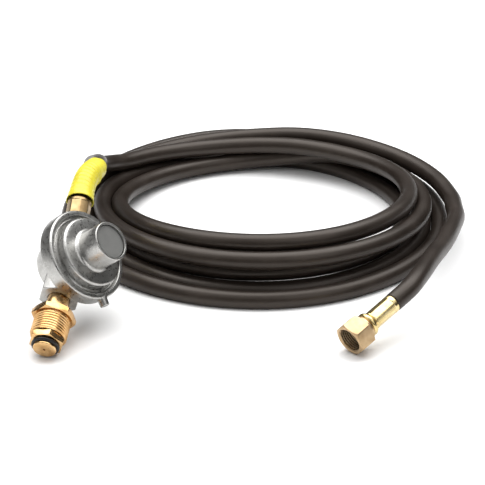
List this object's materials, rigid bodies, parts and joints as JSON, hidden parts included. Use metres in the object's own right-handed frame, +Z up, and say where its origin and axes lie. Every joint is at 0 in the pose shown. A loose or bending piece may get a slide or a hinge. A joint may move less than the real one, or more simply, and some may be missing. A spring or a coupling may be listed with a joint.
{
  "type": "propane regulator hose",
  "caption": "Low-pressure gas regulator with a left-hand bottle inlet nut, a long coiled rubber hose and a swivel flare nut at its end.",
  "frame": {"origin": "on the ground under the middle of the regulator, bottle inlet and outlet ferrule; the hose lies coiled behind and to the right", "axes": "+Z up, +Y away from the side that the bottle inlet points to, +X towards the hose's coil"},
  "size_m": [0.2773, 0.3294, 0.0736],
  "materials": {
    "cast_zinc": "satin die casting",
    "cap_grey": "dull dark grey",
    "steel": "plain steel",
    "bright_brass": "bright turned brass",
    "nut_brass": "satin forged brass",
    "dull_brass": "dull crimped brass",
    "hose_rubber": "satin black rubber",
    "seal_rubber": "dull black rubber",
    "sleeve_yellow": "smooth yellow film"
  },
  "bodies": {
    "regulator": {"regulator_body": "cast_zinc", "bonnet": "cast_zinc", "vent_screen": "steel", "closing_cap": "cap_grey", "main_spring": "steel", "diaphragm": "seal_rubber", "inlet_orifice": "bright_brass", "lever_pin": "steel", "pol_nipple": "bright_brass", "pol_oring": "seal_rubber", "excess_flow_seat": "bright_brass", "excess_flow_spring": "steel", "outlet_stem": "bright_brass", "outlet_ferrule": "dull_brass", "outlet_hose_end": "hose_rubber", "yellow_sleeve": "sleeve_yellow", "hose_lead": "hose_rubber", "hose_coil": "hose_rubber", "hose_tail": "hose_rubber", "flare_hose_end": "hose_rubber", "flare_ferrule": "bright_brass", "flare_stem": "bright_brass"},
    "diaphragm_group": {"diaphragm_plate": "steel", "diaphragm_post": "bright_brass", "relief_spring": "steel", "relief_nut": "bright_brass"},
    "lever": {"valve_lever": "steel"},
    "valve": {"valve_holder": "bright_brass", "valve_seat_disc": "seal_rubber"},
    "screw": {"adjusting_screw": "bright_brass"},
    "bottle_nut": {"pol_nut": "nut_brass"},
    "poppet": {"excess_flow_poppet": "bright_brass"},
    "swivel_nut": {"flare_nut": "nut_brass"}
  },
  "joints": [
    {"name": "diaphragm_lift", "type": "slide", "parent": "regulator", "child": "diaphragm_group", "axis": [0.7012, -0.404, 0.5875], "range_m": [0, 0.0016], "stiffness_N_per_m": 100, "springref_m": -0.004, "deforming": ["diaphragm", "main_spring"]},
    {"name": "lever_pivot", "type": "hinge", "parent": "regulator", "child": "lever", "pos_m": [-0.01358, 0.00514, 0.02876], "axis": [0.6948, 0.2023, -0.6902], "range_deg": [0, 14.2]},
    {"name": "valve_close", "type": "slide", "parent": "regulator", "child": "valve", "axis": [-0.16, -0.8921, -0.4225], "range_m": [0, 0.00153]},
    {"name": "screw_turn", "type": "hinge", "parent": "regulator", "child": "screw", "pos_m": [0.01299, -0.00377, 0.05289], "axis": [0.7012, -0.404, 0.5875], "range_deg": [-360, 360]},
    {"name": "bottle_nut_spin", "type": "hinge", "parent": "regulator", "child": "bottle_nut", "pos_m": [-0.01513, -0.03028, 0.01681], "axis": [0.16, 0.8921, 0.4225], "continuous": true},
    {"name": "poppet_close", "type": "slide", "parent": "regulator", "child": "poppet", "axis": [0.16, 0.8921, 0.4225], "range_m": [0, 0.0034], "stiffness_N_per_m": 60, "springref_m": -0.002, "deforming": ["excess_flow_spring"]},
    {"name": "swivel_nut_spin", "type": "hinge", "parent": "regulator", "child": "swivel_nut", "pos_m": [0.1619, -0.0441, 0.00985], "axis": [0.6917, 0.6566, 0.3007], "continuous": true}
  ],
  "couplings": [
    {"joint": "lever_pivot", "follows": "diaphragm_lift", "rad_per_m": 153.85},
    {"joint": "valve_close", "follows": "diaphragm_lift", "ratio": 0.95385}
  ]
}
